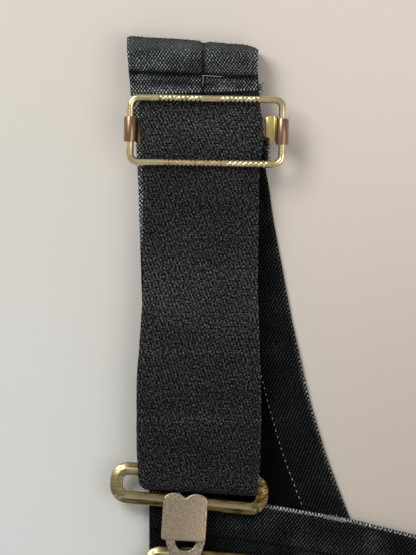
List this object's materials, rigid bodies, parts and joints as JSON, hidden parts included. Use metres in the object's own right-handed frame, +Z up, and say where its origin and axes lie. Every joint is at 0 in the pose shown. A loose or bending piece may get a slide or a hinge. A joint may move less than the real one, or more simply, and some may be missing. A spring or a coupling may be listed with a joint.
{
  "type": "overall shoulder strap",
  "caption": "Canvas and elastic shoulder strap of bib overalls with a wire slide adjuster, oval rings and a clasp hook, laid flat with its back panel and bib corner.",
  "frame": {"origin": "on the flat underside of the back panel, under the elastic near the middle of the strap's length", "axes": "+X to the right of the strap seen from its front, +Y along the strap towards the shoulder fold, +Z up out of its front face"},
  "size_m": [0.1088, 0.1899, 0.0126],
  "materials": {
    "canvas": "washed black duck canvas",
    "elastic": "ribbed black elastic webbing",
    "thread": "pale sewing thread",
    "bright_brass": "polished wire, knurled on both bars",
    "copper_brass": "worn copper brown plating",
    "antique_brass": "antique, dark in the recesses",
    "worn_nickel": "worn silvery face over pink brass edges"
  },
  "bodies": {
    "back": {"back_panel": "canvas", "back_hem_right": "canvas", "back_hem_left": "canvas", "back_hem_thread": "thread", "shoulder_fold": "canvas"},
    "front_strap": {"strap_canvas": "canvas", "strap_facing": "canvas", "strap_hem_thread": "thread", "elastic_front_leaf": "elastic"},
    "adjuster": {"adjuster_frame": "bright_brass"},
    "slide": {"slide_bar": "copper_brass", "elastic_end_loop": "elastic", "elastic_end_thread": "thread"},
    "webbing_loop": {"elastic_ring_loop": "elastic", "elastic_back_leaf": "elastic"},
    "ring_upper": {"upper_ring": "antique_brass"},
    "clasp": {"clasp_plate": "worn_nickel", "clasp_hook": "worn_nickel"},
    "bib": {"bib_panel": "canvas", "bib_hem_top": "canvas", "bib_hem_side": "canvas", "bib_hem_thread": "thread", "ring_chape": "canvas", "chape_thread": "thread"},
    "ring_lower": {"lower_ring": "antique_brass"}
  },
  "joints": [
    {"name": "shoulder_turn", "type": "hinge", "parent": "back", "child": "front_strap", "pos_m": [0, 0.0867, 0.00517], "axis": [-1, 0, 0], "range_deg": [0, 75], "deforming": ["shoulder_fold"]},
    {"name": "adjuster_slide", "type": "slide", "parent": "front_strap", "child": "adjuster", "axis": [0, -1, 0], "range_m": [0, 0.055], "deforming": ["elastic_back_leaf"]},
    {"name": "slide_bar_play", "type": "slide", "parent": "adjuster", "child": "slide", "axis": [0.0175, 0.9998, 0], "range_m": [-0.002, 0.002], "deforming": ["elastic_back_leaf"]},
    {"name": "strap_drop", "type": "slide", "parent": "front_strap", "child": "webbing_loop", "axis": [0, -1, 0], "range_m": [0, 0.0275], "deforming": ["elastic_front_leaf", "elastic_back_leaf"]},
    {"name": "upper_ring_turn", "type": "hinge", "parent": "webbing_loop", "child": "ring_upper", "pos_m": [-0.00236, -0.04855, 0.0063], "axis": [-0.9954, 0.0958, 0], "range_deg": [0, 60], "deforming": ["elastic_ring_loop"]},
    {"name": "clasp_tilt", "type": "hinge", "parent": "ring_upper", "child": "clasp", "pos_m": [-0.00324, -0.05765, 0.0063], "axis": [-0.9954, 0.0958, 0], "range_deg": [0, 7]},
    {"name": "bib_lift", "type": "hinge", "parent": "webbing_loop", "child": "bib", "pos_m": [-0.00236, -0.04855, 0.0063], "axis": [-0.9954, 0.0958, 0], "range_deg": [0, 60]},
    {"name": "lower_ring_tilt", "type": "hinge", "parent": "bib", "child": "ring_lower", "pos_m": [0.00706, -0.08475, 0.0054], "axis": [0.9954, -0.0958, 0], "range_deg": [0, 12.95]}
  ],
  "couplings": [
    {"joint": "strap_drop", "follows": "adjuster_slide", "ratio": 0.5},
    {"joint": "bib_lift", "follows": "upper_ring_turn", "ratio": 1},
    {"joint": "lower_ring_tilt", "follows": "clasp_tilt", "ratio": 1.85}
  ]
}
